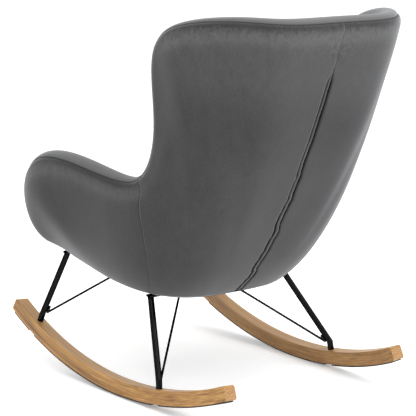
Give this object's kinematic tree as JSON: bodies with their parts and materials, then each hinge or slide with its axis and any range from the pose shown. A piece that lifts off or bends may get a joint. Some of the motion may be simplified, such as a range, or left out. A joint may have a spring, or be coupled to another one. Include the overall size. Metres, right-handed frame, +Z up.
{
  "type": "rocking chair",
  "caption": "Upholstered wing-back rocking chair: a padded velvet shell on slanting black tube legs with thin braces, standing on two bent wood runners.",
  "frame": {"origin": "on the floor, midway between the runners, under the centres of their arcs, where the empty chair comes to rest", "axes": "+Z up, the sitter faces -Y, the sitter's left is +X"},
  "size_m": [0.714, 0.9639, 0.9631],
  "materials": {
    "wood": "clear satin varnish on bent layers of ash, end grain at the tips",
    "rubber": "matt black strip",
    "zinc": "zinc plated",
    "black_bolt": "black oxide",
    "black_steel": "gloss black powder coat",
    "board": "plain plywood",
    "dust_cloth": "thin black non-woven cloth",
    "raw_steel": "drawn tube, oiled",
    "panel": "moulded plywood shell",
    "foam": "upholstery foam",
    "velvet": "dark grey short-pile velvet"
  },
  "bodies": {
    "root": {"runner_left": "wood", "runner_right": "wood", "rubber_strips_left": "rubber", "rubber_strips_right": "rubber", "runner_bolts": "black_bolt", "runner_washers": "zinc", "foot_inserts": "zinc", "leg_front_left": "black_steel", "leg_front_right": "black_steel", "leg_rear_left": "black_steel", "leg_rear_right": "black_steel", "brace_front_left": "black_steel", "brace_front_right": "black_steel", "brace_rear_left": "black_steel", "brace_rear_right": "black_steel", "side_bar_left": "black_steel", "side_bar_right": "black_steel", "cross_bar_front": "black_steel", "cross_bar_rear": "black_steel", "brace_bar_front": "black_steel", "brace_bar_rear": "black_steel", "seat_bolts": "black_bolt", "seat_washers": "zinc", "tee_nuts": "zinc", "seat_board": "board", "dust_cover": "dust_cloth", "rim_tube": "raw_steel", "back_panel": "panel", "arm_panel_left": "panel", "arm_panel_right": "panel", "back_foam": "foam", "arm_foam_left": "foam", "arm_foam_right": "foam", "seat_foam": "foam", "outer_cover_back_left": "velvet", "outer_cover_back_right": "velvet", "outer_cover_arm_left": "velvet", "outer_cover_arm_right": "velvet", "back_closure": "velvet", "inner_cover_back": "velvet", "inner_cover_arm_left": "velvet", "inner_cover_arm_right": "velvet", "seat_cover": "velvet"}
  },
  "joints": []
}
